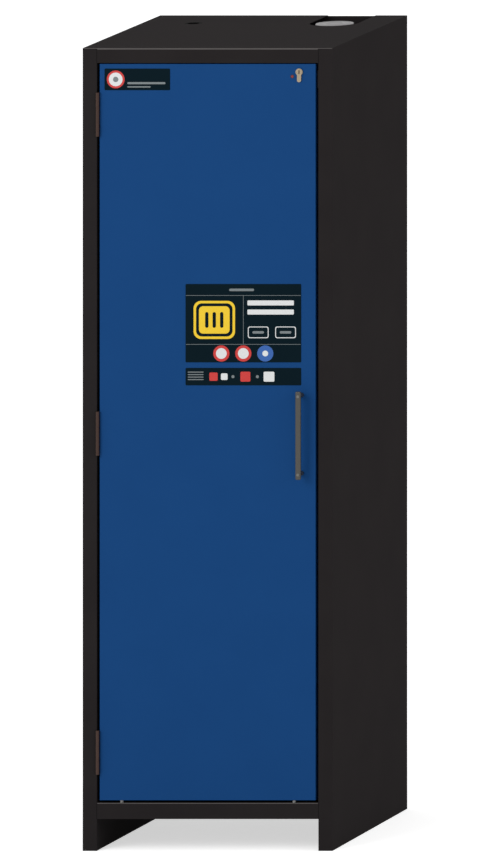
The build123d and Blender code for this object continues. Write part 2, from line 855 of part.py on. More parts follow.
with BuildPart() as socket_strip:
    strip_front = y_interior_back - strip_box_depth
    block(
        (outlet_x - strip_box_width / 2, outlet_x + strip_box_width / 2),
        (strip_front, y_interior_back),
        (z_floor + strip_box_end, z_ceiling - strip_box_end),
    )
    fillet(socket_strip.edges().filter_by(Axis.Z).group_by(Axis.Y)[0], radius=edge_radius)
    with BuildSketch(front_plane(strip_front + outlet_depth)):
        with Locations(*outlet_places):
            Circle(outlet_radius)
    extrude(amount=outlet_depth, mode=Mode.SUBTRACT)
    with BuildSketch(front_plane(strip_front + outlet_depth + outlet_pin_depth)):
        with Locations(*outlet_places):
            with GridLocations(outlet_pin_spread, 0, 2, 1):
                Circle(outlet_pin_radius)
    extrude(amount=outlet_pin_depth, mode=Mode.SUBTRACT)
save(socket_strip, "socket_strip")
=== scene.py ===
"""The looks of the battery cabinet: finishes, printed plates, small fittings, light and camera."""

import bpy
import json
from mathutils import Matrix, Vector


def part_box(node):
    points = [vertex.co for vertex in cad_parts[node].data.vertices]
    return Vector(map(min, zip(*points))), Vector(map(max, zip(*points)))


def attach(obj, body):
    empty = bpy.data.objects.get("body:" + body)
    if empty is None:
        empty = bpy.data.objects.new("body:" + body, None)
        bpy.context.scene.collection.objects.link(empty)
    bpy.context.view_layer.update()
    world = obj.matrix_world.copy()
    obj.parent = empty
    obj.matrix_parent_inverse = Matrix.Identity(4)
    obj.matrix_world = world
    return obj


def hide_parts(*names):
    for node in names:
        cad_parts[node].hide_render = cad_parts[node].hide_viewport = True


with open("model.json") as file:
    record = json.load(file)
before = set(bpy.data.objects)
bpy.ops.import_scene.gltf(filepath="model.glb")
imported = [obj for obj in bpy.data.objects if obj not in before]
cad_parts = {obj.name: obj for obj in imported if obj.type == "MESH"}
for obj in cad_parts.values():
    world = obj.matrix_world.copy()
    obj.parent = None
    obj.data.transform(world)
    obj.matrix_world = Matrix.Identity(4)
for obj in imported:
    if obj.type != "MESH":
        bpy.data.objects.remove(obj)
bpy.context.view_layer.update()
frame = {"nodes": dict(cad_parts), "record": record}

import json
import logging
import math
from dataclasses import dataclass
from enum import Enum

import bpy
import numpy as np
from mathutils import Matrix, Vector

log = logging.getLogger("battery_cabinet")
MM = 0.001
WHOLE_TURN = 2 * math.pi
PATCH_SCALE, PATCH_DETAIL = 7.0, 4.0  # soft patches of a finish: features per metre, octaves
GRAIN_DETAIL, GRAIN_STRENGTH = 2.0, 0.35  # fine grain of a finish: octaves, share of its height


class Body(Enum):
    """Moving groups of the cabinet."""

    CABINET = "cabinet"
    DOOR = "door"
    PLUG = "plug"
    CAP = "cap"


class Facing(Enum):
    """Directions a flat fitting can face, each as right, up and outward vectors."""

    FRONT = ((1, 0, 0), (0, 0, 1), (0, -1, 0))
    UP = ((1, 0, 0), (0, 1, 0), (0, 0, 1))
    DOWN = ((1, 0, 0), (0, -1, 0), (0, 0, -1))


def linear(red: int, green: int, blue: int) -> tuple[float, float, float, float]:
    """Turn a display colour into scene-linear values.

    Args:
        red: Display red, 0 to 255.
        green: Display green, 0 to 255.
        blue: Display blue, 0 to 255.

    Returns:
        The colour as red, green, blue and full opacity.
    """
    display = np.array([red, green, blue]) / 255
    low = display / 12.92
    high = ((display + 0.055) / 1.055) ** 2.4
    return (*np.where(display <= 0.04045, low, high).tolist(), 1.0)


@dataclass(frozen=True)
class Finish:
    """One surface finish, from its colour down to the grain of its coat.

    Attributes:
        name: Material name.
        colour: Base colour, scene-linear.
        wear_colour: Colour that the base drifts to in soft patches.
        roughness: Middle roughness.
        roughness_spread: How far the roughness drifts either way.
        metallic: 1 for bare metal.
        specular: Specular level of the coat.
        grain: Grain features per metre.
        stretch: Grain stretch along X, Y and Z, as for brushed metal.
        bump: Height of the grain, in metres.
    """

    name: str
    colour: tuple[float, float, float, float]
    wear_colour: tuple[float, float, float, float]
    roughness: float
    roughness_spread: float = 0.05
    metallic: float = 0.0
    specular: float = 0.5
    grain: float = 900.0
    stretch: tuple[float, float, float] = (1.0, 1.0, 1.0)
    bump: float = 0.00004

    def material(self) -> bpy.types.Material:
        """Build the finish once and hand it out after that.

        Returns:
            The node material.
        """
        title = f"{self.name}_finish"
        known = bpy.data.materials.get(title)
        if known:
            return known
        made = bpy.data.materials.new(title)
        made.use_nodes = True
        nodes, links = made.node_tree.nodes, made.node_tree.links
        shader = nodes["Principled BSDF"]
        shader.inputs["Metallic"].default_value = self.metallic
        shader.inputs["Specular IOR Level"].default_value = self.specular
        place = nodes.new("ShaderNodeTexCoord")
        mapping = nodes.new("ShaderNodeMapping")
        mapping.inputs["Scale"].default_value = self.stretch
        links.new(place.outputs["Object"], mapping.inputs["Vector"])
        patches = self._noise(nodes, links, mapping, PATCH_SCALE, PATCH_DETAIL)
        grain = self._noise(nodes, links, mapping, self.grain, GRAIN_DETAIL)
        tint = nodes.new("ShaderNodeMixRGB")
        tint.inputs["Color1"].default_value = self.colour
        tint.inputs["Color2"].default_value = self.wear_colour
        links.new(patches, tint.inputs["Fac"])
        links.new(tint.outputs["Color"], shader.inputs["Base Color"])
        gloss = nodes.new("ShaderNodeMapRange")
        gloss.inputs["To Min"].default_value = self.roughness - self.roughness_spread
        gloss.inputs["To Max"].default_value = self.roughness + self.roughness_spread
        links.new(patches, gloss.inputs["Value"])
        links.new(gloss.outputs["Result"], shader.inputs["Roughness"])
        relief = nodes.new("ShaderNodeBump")
        relief.inputs["Strength"].default_value = GRAIN_STRENGTH
        relief.inputs["Distance"].default_value = self.bump
        links.new(grain, relief.inputs["Height"])
        links.new(relief.outputs["Normal"], shader.inputs["Normal"])
        return made

    def _noise(
        self, nodes: bpy.types.Nodes, links: bpy.types.NodeLinks, mapping: bpy.types.Node,
        scale: float, detail: float,
    ) -> bpy.types.NodeSocket:
        """Add one noise layer over the object's own coordinates.

        Args:
            nodes: The material's nodes.
            links: The material's links.
            mapping: Node that carries the stretched coordinates.
            scale: Features per metre.
            detail: Octaves of finer noise.

        Returns:
            The layer's value socket.
        """
        noise = nodes.new("ShaderNodeTexNoise")
        noise.inputs["Scale"].default_value = scale
        noise.inputs["Detail"].default_value = detail
        links.new(mapping.outputs["Vector"], noise.inputs["Vector"])
        return noise.outputs["Fac"]


FRAME_PAINT = Finish(
    "frame_paint", linear(37, 34, 35), linear(45, 42, 42), 0.6, specular=0.002
)
DOOR_PAINT = Finish(
    "door_paint", linear(22, 67, 121), linear(25, 71, 126), 0.5, specular=0.03
)
LINING = Finish("lining_sheet", linear(196, 199, 201), linear(188, 191, 194), 0.5)
BOARD = Finish(
    "mineral_board", linear(205, 201, 192), linear(188, 183, 172), 0.9, grain=350.0, bump=0.0003
)
SEAL_RUBBER = Finish(
    "seal_rubber", linear(12, 12, 12), linear(18, 18, 18), 0.8, specular=0.02, grain=1400.0
)
SEAM = Finish("seam_shade", linear(17, 16, 16), linear(21, 20, 20), 0.7, specular=0.02)
# Lighter paint laid along the folded edges: a painted highlight of the rounded bends.
FOLD_HIGHLIGHT = Finish("fold_edge_sheen", linear(92, 88, 87), linear(80, 77, 76), 0.4, specular=0.1)
STUD = Finish("handle_stud", linear(112, 111, 106), linear(98, 97, 93), 0.35, metallic=0.6)
HINGE_STEEL = Finish(
    "hinge_steel", linear(74, 56, 50), linear(48, 34, 28), 0.36, metallic=0.8,
    stretch=(1.0, 1.0, 0.05),
)
HANDLE_METAL = Finish(
    "handle_metal", linear(66, 65, 61), linear(78, 76, 72), 0.34, metallic=0.55,
    stretch=(1.0, 1.0, 0.04),
)
ZINC = Finish("zinc_plate", linear(188, 189, 188), linear(165, 167, 166), 0.32, metallic=1.0)
LOCK_METAL = Finish(
    "lock_metal", linear(158, 145, 124), linear(140, 127, 106), 0.36, metallic=0.85,
    stretch=(0.1, 1.0, 1.0),
)
LAMP_RED = Finish("lamp_red", linear(140, 26, 34), linear(126, 22, 28), 0.25, bump=0.00001)
BUFFER = Finish("buffer_plastic", linear(146, 146, 144), linear(136, 136, 134), 0.55)
CAP_PLASTIC = Finish("cap_plastic", linear(136, 134, 135), linear(144, 142, 143), 0.5)
VALVE_WHITE = Finish("valve_enamel", linear(228, 228, 225), linear(220, 220, 216), 0.35)
DUCT = Finish("duct_zinc", linear(160, 163, 165), linear(138, 142, 146), 0.42, metallic=0.9, grain=120.0)
BLACK_PLASTIC = Finish("black_plastic", linear(30, 30, 31), linear(38, 38, 39), 0.55, grain=1500.0)
PLATE_BLACK = Finish(
    "plate_black", linear(14, 28, 35), linear(17, 32, 39), 0.4, specular=0.0, bump=0.00001
)
PRINT_WHITE = Finish("print_white", linear(228, 230, 230), linear(220, 222, 222), 0.4, bump=0.00001)
PRINT_GREY = Finish("print_grey", linear(120, 128, 130), linear(110, 118, 121), 0.4, bump=0.00001)
PRINT_YELLOW = Finish("print_yellow", linear(244, 205, 22), linear(238, 198, 18), 0.4, bump=0.00001)
PRINT_RED = Finish("print_red", linear(205, 44, 38), linear(196, 38, 34), 0.4, bump=0.00001)
PRINT_BLUE = Finish("print_blue", linear(32, 92, 170), linear(28, 86, 162), 0.4, bump=0.00001)

NODE_FINISHES = {
    "frame_paint": FRAME_PAINT,
    "door_paint": DOOR_PAINT,
    "inner_steel": LINING,
    "fire_board": BOARD,
    "seal": SEAL_RUBBER,
    "hinge_steel": HINGE_STEEL,
    "handle_metal": HANDLE_METAL,
    "fastener_steel": ZINC,
    "lock_brass": LOCK_METAL,
    "lamp_red": LAMP_RED,
    "buffer_plastic": BUFFER,
    "cap_plastic": CAP_PLASTIC,
    "valve_white": VALVE_WHITE,
    "duct_steel": DUCT,
    "black_plastic": BLACK_PLASTIC,
}


def rounded_outline(width: float, height: float, radius: float, steps: int = 10) -> np.ndarray:
    """Walk round a rectangle whose corners are quarter circles.

    Each point is its corner's centre plus radius times (cos a, sin a), with a
    running through one whole turn.

    Args:
        width: Size across.
        height: Size upward.
        radius: Corner radius, limited to half the shorter side.
        steps: Points in each corner.

    Returns:
        An array of points across and upward, one row each.
    """
    radius = min(radius, width / 2, height / 2)
    corner = np.repeat(np.arange(4), steps)
    angle = corner * math.pi / 2 + np.tile(np.linspace(0, math.pi / 2, steps), 4)
    sign_u = np.where((corner == 0) | (corner == 3), 1, -1)
    sign_v = np.where(corner < 2, 1, -1)
    across = sign_u * (width / 2 - radius) + radius * np.cos(angle)
    upward = sign_v * (height / 2 - radius) + radius * np.sin(angle)
    return np.column_stack([across, upward])


def rounded_rim(height: float, rim: float, steps: int = 5) -> list[tuple[float, float]]:
    """List the levels of a pressed piece whose top edge is a quarter round.

    At angle a the inset is rim times (1 - cos a) and the height is the top
    less rim times (1 - sin a).

    Args:
        height: Full height.
        rim: Radius of the top edge.
        steps: Levels in the quarter round.

    Returns:
        Pairs of inset and height, from the base up.
    """
    angle = np.linspace(0, math.pi / 2, steps)
    inset = rim * (1 - np.cos(angle))
    level = height - rim * (1 - np.sin(angle))
    return [(0.0, 0.0), *zip(inset.tolist(), level.tolist())]


def skin(name: str, rings: np.ndarray, finish: Finish) -> bpy.types.Object:
    """Close a stack of equal rings into one shell with flat ends.

    Args:
        name: Name of the piece.
        rings: Array of ring, point and coordinate.
        finish: Finish of the piece.

    Returns:
        The new object at the origin.
    """
    count, around, _ = rings.shape
    index = np.arange(count * around).reshape(count, around)
    after = np.roll(index, -1, axis=1)
    walls = np.stack([index[:-1], after[:-1], after[1:], index[1:]], axis=-1).reshape(-1, 4)
    faces = [*walls.tolist(), index[0, ::-1].tolist(), index[-1].tolist()]
    mesh = bpy.data.meshes.new(name)
    mesh.from_pydata(rings.reshape(-1, 3).tolist(), [], faces)
    mesh.materials.append(finish.material())
    mesh.update()
    piece = bpy.data.objects.new(name, mesh)
    bpy.context.scene.collection.objects.link(piece)
    return piece


@dataclass(frozen=True)
class Fitting:
    """A flat fitting built up in levels over a rounded outline.

    Attributes:
        name: Name of the piece.
        centre: Middle of its base, in metres.
        width: Size across.
        height: Size upward.
        radius: Corner radius.
        levels: Pairs of inset and height over the base.
        finish: Surface finish.
        slot: Material slot of the record, not used.
        body: Moving group it rides on.
        facing: Direction it faces.
    """

    name: str
    centre: tuple[float, float, float]
    width: float
    height: float
    radius: float
    levels: list[tuple[float, float]]
    finish: Finish
    slot: str
    body: Body
    facing: Facing = Facing.FRONT

    def build(self) -> bpy.types.Object:
        """Model the fitting and fasten it to its body.

        Returns:
            The finished object.
        """
        right, up, out = (np.array(axis, float) for axis in self.facing.value)
        rings = []
        for inset, level in self.levels:
            flat = rounded_outline(
                self.width - 2 * inset, self.height - 2 * inset, max(self.radius - inset, 1e-5)
            )
            rings.append(np.array(self.centre) + flat @ np.array([right, up]) + level * out)
        piece = skin(self.name, np.array(rings), self.finish)
        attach(piece, self.body.value)
        log.info("built %s", self.name)
        return piece


@dataclass
class Lettering:
    """One printed plate on the door, with its plain print laid over it.

    Attributes:
        name: Name stem of the plate's pieces.
        centre: Middle of the plate on the door's face.
        width: Plate width.
        height: Plate height.
        thickness: Plate thickness.
        ink: Height of the print over the plate.
        corner: Corner radius of the plate.
        rim: Radius of the plate's top edge.
    """

    name: str
    centre: Vector
    width: float
    height: float
    thickness: float = 0.8 * MM
    ink: float = 0.15 * MM
    corner: float = 2.5 * MM
    rim: float = 0.3 * MM

    def build(self) -> None:
        """Lay the bare plate on the door."""
        Fitting(
            self.name, tuple(self.centre), self.width, self.height, self.corner,
            rounded_rim(self.thickness, self.rim), PLATE_BLACK, "black_plastic", Body.DOOR,
        ).build()

    def mark(
        self, label: str, across: float, upward: float, width: float, height: float,
        radius: float, finish: Finish, layer: int = 1,
    ) -> None:
        """Print one rounded mark, placed from the middle of the plate.

        Args:
            label: Ending of the mark's name.
            across: Place to the right, in metres.
            upward: Place upward, in metres.
            width: Mark width.
            height: Mark height.
            radius: Corner radius.
            finish: Ink.
            layer: Order of printing, from 1.
        """
        base = self.centre + Vector((across, -self.thickness - (layer - 1) * self.ink, upward))
        Fitting(
            f"{self.name}_{label}", tuple(base), width, height, radius,
            [(0.0, 0.0), (0.0, self.ink)], finish, "black_plastic", Body.DOOR,
        ).build()


@dataclass
class DoorPlates:
    """The three printed plates on the door.

    Attributes:
        low: Lowest corner of the door skin.
        high: Highest corner of the door skin.
        badge_size: Width and height of the small plate.
        badge_place: Distance of the small plate's edge from the door's left edge, and of its
            middle below the door's top.
        column: Distance of the large plate and the strip from the door's left edge.
        panel_size: Width and height of the large plate.
        panel_level: Height of the large plate's middle over the floor.
        strip_size: Width and height of the strip.
        strip_level: Height of the strip's middle over the floor.
    """

    low: Vector
    high: Vector
    badge_size: tuple[float, float] = (158 * MM, 52 * MM)
    badge_place: tuple[float, float] = (12 * MM, 37 * MM)
    column: float = 207.5 * MM
    panel_size: tuple[float, float] = (279 * MM, 189 * MM)
    panel_level: float = 1274 * MM
    strip_size: tuple[float, float] = (279 * MM, 42 * MM)
    strip_level: float = 1145 * MM

    def build(self) -> None:
        """Build every plate and its print."""
        self.badge()
        self.panel()
        self.strip()

    def badge(self) -> None:
        """Build the small plate at the top left, with a plain ringed disc and two bars."""
        width, height = self.badge_size
        inset, drop = self.badge_place
        centre = Vector((self.low.x + inset + width / 2, self.low.y, self.high.z - drop))
        plate = Lettering("badge_plate", centre, width, height)
        plate.build()
        disc = -width / 2 + 27 * MM
        plate.mark("ring", disc, 0, 43 * MM, 43 * MM, 22 * MM, PRINT_RED)
        plate.mark("disc", disc, 0, 33 * MM, 33 * MM, 17 * MM, PRINT_WHITE, 2)
        plate.mark("disc_core", disc, 0, 13 * MM, 13 * MM, 7 * MM, PRINT_GREY, 3)
        plate.mark("bar_long", 22 * MM, -9 * MM, 92 * MM, 5 * MM, 2.5 * MM, PRINT_GREY)
        plate.mark("bar_short", 4 * MM, -18 * MM, 56 * MM, 3 * MM, 1.5 * MM, PRINT_GREY)

    def panel(self) -> None:
        """Build the large plate at mid height: a ruled grid, a yellow field, bars and discs."""
        width, height = self.panel_size
        centre = Vector((self.low.x + self.column + width / 2, self.low.y, self.panel_level))
        plate = Lettering("panel_plate", centre, width, height)
        plate.build()
        for number, upward in enumerate((67 * MM, -51 * MM), start=1):
            plate.mark(f"rule_{number}", 0, upward, width - 2 * MM, 0.9 * MM, 0.4 * MM, PRINT_GREY)
        plate.mark("rule_upright", 0, 8 * MM, 0.9 * MM, 117 * MM, 0.4 * MM, PRINT_GREY)
        plate.mark("header", -4 * MM, 80.5 * MM, 60 * MM, 6 * MM, 3 * MM, PRINT_GREY)
        left = -70 * MM
        plate.mark("field", left, 8 * MM, 100 * MM, 92 * MM, 18 * MM, PRINT_YELLOW)
        plate.mark("field_band", left, 8 * MM, 88 * MM, 80 * MM, 14 * MM, PLATE_BLACK, 2)
        plate.mark("field_fill", left, 8 * MM, 74 * MM, 66 * MM, 10 * MM, PRINT_YELLOW, 3)
        for number, offset in enumerate((-18 * MM, 0, 18 * MM), start=1):
            plate.mark(
                f"field_bar_{number}", left + offset, 8 * MM, 8 * MM, 38 * MM, 4 * MM,
                PLATE_BLACK, 4,
            )
        for number, upward in enumerate((49 * MM, 27 * MM), start=1):
            plate.mark(f"line_{number}", 66 * MM, upward, 112 * MM, 12 * MM, 2 * MM, PRINT_WHITE)
        for number, across in enumerate((36 * MM, 102 * MM), start=1):
            plate.mark(f"cell_{number}", across, -22 * MM, 50 * MM, 28 * MM, 5 * MM, PRINT_WHITE)
            plate.mark(
                f"cell_{number}_inner", across, -22 * MM, 46 * MM, 24 * MM, 4 * MM, PLATE_BLACK, 2
            )
            plate.mark(
                f"cell_{number}_bar", across, -22 * MM, 28 * MM, 6 * MM, 3 * MM, PRINT_GREY, 3
            )
        inks = (PRINT_RED, PRINT_RED, PRINT_BLUE)
        for number, (across, ink) in enumerate(zip((-53 * MM, 0, 53 * MM), inks), start=1):
            plate.mark(f"spot_{number}", across, -73 * MM, 39 * MM, 39 * MM, 20 * MM, ink)
            inner = 26 * MM if ink is PRINT_RED else 14 * MM
            plate.mark(
                f"spot_{number}_inner", across, -73 * MM, inner, inner, inner / 2, PRINT_WHITE, 2
            )

    def strip(self) -> None:
        """Build the narrow plate with a row of plain blocks."""
        width, height = self.strip_size
        centre = Vector((self.low.x + self.column + width / 2, self.low.y, self.strip_level))
        plate = Lettering("strip_plate", centre, width, height)
        plate.build()
        for number in range(4):
            plate.mark(
                f"note_{number + 1}", -115 * MM, (11 - 6 * number) * MM, 38 * MM, 2.2 * MM,
                1 * MM, PRINT_GREY,
            )
        row = (
            ("block_red", -72, 20, PRINT_RED),
            ("block_white", -46, 16, PRINT_WHITE),
            ("mark_left", -25, 7, PRINT_GREY),
            ("block_tall", 5, 24, PRINT_RED),
            ("mark_right", 34, 7, PRINT_GREY),
            ("block_pale", 62, 26, PRINT_WHITE),
        )
        for label, across, size, ink in row:
            plate.mark(label, across * MM, 0, size * MM, min(size, 24) * MM, 3 * MM, ink)


@dataclass
class Handle:
    """The slim pull bar on its two posts.

    Attributes:
        low: Lowest corner of the bar's space.
        high: Highest corner of the bar's space.
        end_inset: Distance of each post from the bar's end.
        corner: Corner radius of the bar.
        foot: How far the bar's back edge is drawn in.
        rim: Radius of the bar's front edge.
        stud_size: Width of a stud.
        stud_rise: Height of a stud over the bar.
        stud_rim: Radius of a stud's front edge.
    """

    low: Vector
    high: Vector
    end_inset: float = 12 * MM
    corner: float = 3 * MM
    foot: float = 1.2 * MM
    rim: float = 2.6 * MM
    stud_size: float = 7 * MM
    stud_rise: float = 0.6 * MM
    stud_rim: float = 0.4 * MM

    def build(self) -> None:
        """Build the rounded bar in place of the plain one, with a stud over each post."""
        middle = (self.low + self.high) / 2
        size = self.high - self.low
        bar = Fitting(
            "handle_grip", (middle.x, self.high.y, middle.z), size.x, size.z, self.corner,
            [(self.foot, 0.0), *rounded_rim(size.y - self.stud_rise, self.rim)[1:]],
            HANDLE_METAL, "handle_metal", Body.DOOR,
        ).build()
        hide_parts("handle_bar")
        for end, sign in (("low", -1), ("high", 1)):
            height = middle.z + sign * (size.z / 2 - self.end_inset)
            Fitting(
                f"handle_stud_{end}", (middle.x, self.low.y + self.stud_rise, height),
                self.stud_size, self.stud_size, self.stud_size / 2,
                rounded_rim(self.stud_rise, self.stud_rim), STUD, "handle_metal", Body.DOOR,
            ).build()


@dataclass(frozen=True)
class Collar:
    """Section of a flat ring with a rounded crown.

    Attributes:
        outer: Outer radius.
        inner: Inner radius.
        rise: Height over its base.
    """

    outer: float
    inner: float
    rise: float


@dataclass
class SmallFittings:
    """Rings and collars that finish the cabinet.

    Attributes:
        lamp_bezel: Section of the ring round the status lamp.
        plug_rim: Section of the ring on the lock plug.
        cap_ribs: Sections of the ribs on the exhaust cap.
        outlet_collar: Section of the collar round an outlet.
        sensor_collar: Section of the collar on the ceiling sensor.
        sensor_drop: Distance of that collar below the ceiling.
        around: Points round a ring.
        over: Points over a ring's crown.
    """

    lamp_bezel: Collar = Collar(4.6 * MM, 3.2 * MM, 0.6 * MM)
    plug_rim: Collar = Collar(6.3 * MM, 5.2 * MM, 0.3 * MM)
    cap_ribs: tuple[Collar, ...] = (
        Collar(38 * MM, 35 * MM, 0.8 * MM), Collar(20 * MM, 17 * MM, 0.8 * MM)
    )
    outlet_collar: Collar = Collar(23 * MM, 19.8 * MM, 1.5 * MM)
    sensor_collar: Collar = Collar(35 * MM, 30 * MM, 3 * MM)
    sensor_drop: float = 12 * MM
    around: int = 64
    over: int = 9

    def ring(
        self, name: str, centre: tuple[float, float, float], collar: Collar, finish: Finish,
        slot: str, body: Body, facing: Facing = Facing.FRONT,
    ) -> None:
        """Build a flat ring with a rounded crown.

        At angle c over the crown the radius is the middle radius plus half the
        ring's width times cos c, and the height is the rise times sin c. That
        arc is carried through one whole turn.

        Args:
            name: Name of the piece.
            centre: Middle of its base.
            collar: Section of the ring.
            finish: Surface finish.
            slot: Material slot, not used.
            body: Moving group it rides on.
            facing: Direction it faces.
        """
        right, up, out = (np.array(axis, float) for axis in facing.value)
        turn = np.linspace(0, WHOLE_TURN, self.around, endpoint=False)
        crown = np.linspace(0, math.pi, self.over)
        outer, inner = collar.outer, collar.inner
        radius = (outer + inner) / 2 + (outer - inner) / 2 * np.cos(crown)
        level = collar.rise * np.sin(crown)
        spokes = np.cos(turn)[:, None] * right + np.sin(turn)[:, None] * up
        rings = radius[:, None, None] * spokes[None] + level[:, None, None] * out
        points = (np.array(centre) + rings).reshape(-1, 3)
        index = np.arange(self.over * self.around).reshape(self.over, self.around)
        nxt, after = np.roll(index, -1, axis=0), np.roll(index, -1, axis=1)
        corner = np.roll(nxt, -1, axis=1)
        faces = np.stack([index, after, corner, nxt], axis=-1).reshape(-1, 4)
        mesh = bpy.data.meshes.new(name)
        mesh.from_pydata(points.tolist(), [], faces.tolist())
        mesh.materials.append(finish.material())
        mesh.polygons.foreach_set("use_smooth", np.ones(len(faces), bool))
        mesh.update()
        piece = bpy.data.objects.new(name, mesh)
        bpy.context.scene.collection.objects.link(piece)
        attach(piece, body.value)
        log.info("built %s", name)

    def build(self) -> None:
        """Build every ring."""
        low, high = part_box("status_lamp")
        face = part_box("door_outer_skin")[0].y
        lamp = ((low.x + high.x) / 2, face, (low.z + high.z) / 2)
        self.ring("lamp_bezel", lamp, self.lamp_bezel, BLACK_PLASTIC, "black_plastic", Body.DOOR)
        low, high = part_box("lock_plug")
        plug = ((low.x + high.x) / 2, low.y, (low.z + high.z) / 2)
        self.ring("plug_rim", plug, self.plug_rim, LOCK_METAL, "lock_brass", Body.PLUG)
        low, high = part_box("exhaust_cap")
        cap = ((low.x + high.x) / 2, (low.y + high.y) / 2, high.z)
        for number, rib in enumerate(self.cap_ribs, start=1):
            self.ring(
                f"cap_rib_{number}", cap, rib, CAP_PLASTIC, "cap_plastic", Body.CAP, Facing.UP
            )
        self.outlets()
        self.sensor()

    def outlets(self) -> None:
        """Put a raised collar round each outlet of the socket strip."""
        low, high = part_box("socket_strip")
        for opening in frame["record"]["physics"]["openings"]:
            if not opening["name"].startswith("outlet"):
                continue
            height = (opening["box_m"][0][2] + opening["box_m"][1][2]) / 2
            centre = ((low.x + high.x) / 2, low.y, height)
            self.ring(
                f"{opening['name']}_collar", centre, self.outlet_collar, BLACK_PLASTIC,
                "black_plastic", Body.CABINET,
            )

    def sensor(self) -> None:
        """Put a collar on the ceiling sensor."""
        low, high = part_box("smoke_sensor")
        centre = ((low.x + high.x) / 2, (low.y + high.y) / 2, high.z - self.sensor_drop)
        self.ring(
            "sensor_collar", centre, self.sensor_collar, VALVE_WHITE, "valve_white",
            Body.CABINET, Facing.DOWN,
        )


@dataclass
class CasingFolds:
    """Seams, painted highlights along the folded edges, and the boxed inner walls of the legs.

    Attributes:
        line: Width of a seam.
        edge: Width of the painted highlight along a rail's fold.
        roof: Width of the painted highlight along the roof's front fold.
        skin: Height of a seam or edge over the sheet.
        rim: How far a strip's top is drawn in.
        wall: Sheet thickness of a leg's inner wall.
        top_face: Height of the top rail's visible face.
        bottom_face: Height of the bottom rail's visible face.
        lip: Depth of a leg's front lip.
        floor_gap: How much shorter than the leg its inner wall is.
        corner: Corner radius of a leg's inner wall.
    """

    line: float = 1.2 * MM
    edge: float = 2.0 * MM
    roof: float = 1.4 * MM
    skin: float = 0.12 * MM
    rim: float = 0.1 * MM
    wall: float = 1.4 * MM
    top_face: float = 34.5 * MM
    bottom_face: float = 39 * MM
    lip: float = 15 * MM
    floor_gap: float = 0.4 * MM
    corner: float = 1.0 * MM

    def build(self) -> None:
        """Build the seams, the painted edge highlights and the leg walls."""
        for name in ("top_rail", "bottom_rail"):
            low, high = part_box(name)
            face_top = high.z if name == "top_rail" else low.z + self.bottom_face
            face_low = low.z if name == "bottom_rail" else high.z - self.top_face
            middle = (face_top + face_low) / 2
            tall = face_top - face_low
            for side, across in (("left", low.x), ("right", high.x)):
                self.strip(f"{name}_seam_{side}", across, low.y, middle, self.line, tall, SEAM)
            # A lighter strip along the rail's fold: painted highlight.
            self.strip(
                f"{name}_edge", (low.x + high.x) / 2, low.y, face_top - self.edge / 2,
                high.x - low.x - 2 * self.line, self.edge, FOLD_HIGHLIGHT,
            )
        low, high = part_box("top_panel")
        # A lighter strip along the roof's front fold: painted highlight.
        self.strip(
            "roof_edge", 0, low.y, low.z + self.roof / 2, high.x - low.x - self.line, self.roof,
            FOLD_HIGHLIGHT,
        )
        self.leg_walls()

    def strip(
        self, name: str, across: float, face: float, upward: float, width: float,
        height: float, finish: Finish,
    ) -> None:
        """Lay one thin strip on the cabinet's front.

        Args:
            name: Name of the piece.
            across: Its middle along X.
            face: The front face's place along Y.
            upward: Its middle along Z.
            width: Size across.
            height: Size upward.
            finish: Surface finish.
        """
        Fitting(
            name, (across, face, upward), width, height, self.line / 3,
            [(0.0, 0.0), (0.0, self.skin / 2), (self.rim, self.skin)], finish, "frame_paint",
            Body.CABINET,
        ).build()

    def leg_walls(self) -> None:
        """Close each leg on its inner side, between the front lip and the back flange.

        A wall is the rounded outline of its length and height, carried across
        its thickness.
        """
        rail_low, rail_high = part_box("bottom_rail")
        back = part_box("back_panel")[0].y
        front = rail_low.y + self.lip
        length, height = back - front, rail_low.z
        for side, sign in (("left", -1), ("right", 1)):
            outer = abs(rail_low.x if sign < 0 else rail_high.x)
            flat = rounded_outline(length, height - self.floor_gap, self.corner)
            across = np.array([outer, outer + self.wall]) * sign
            rings = np.empty((2, len(flat), 3))
            rings[..., 0] = across[:, None]
            rings[..., 1] = (front + back) / 2 + sign * flat[:, 0]
            rings[..., 2] = height / 2 + flat[:, 1]
            piece = skin(f"leg_wall_{side}", rings, FRAME_PAINT)
            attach(piece, Body.CABINET.value)
            log.info("built leg_wall_%s", side)


def dress_nodes() -> None:
    """Give every carried-over piece the finish of its material slot, except the strike plate, which
    takes the dark frame paint as painted shade.
    """
    for entry in frame["record"]["subparts"]:
        node = frame["nodes"][entry["node"]]
        # The strike plate is painted dark with the frame paint as painted shade, for the shade of the
        # pocket it sits in.
        painted_shade = entry["node"] == "strike_plate"
        finish = FRAME_PAINT if painted_shade else NODE_FINISHES[entry["material_slot"]]
        node.data.materials.clear()
        node.data.materials.append(finish.material())
        log.info("finished %s in %s", entry["node"], finish.name)


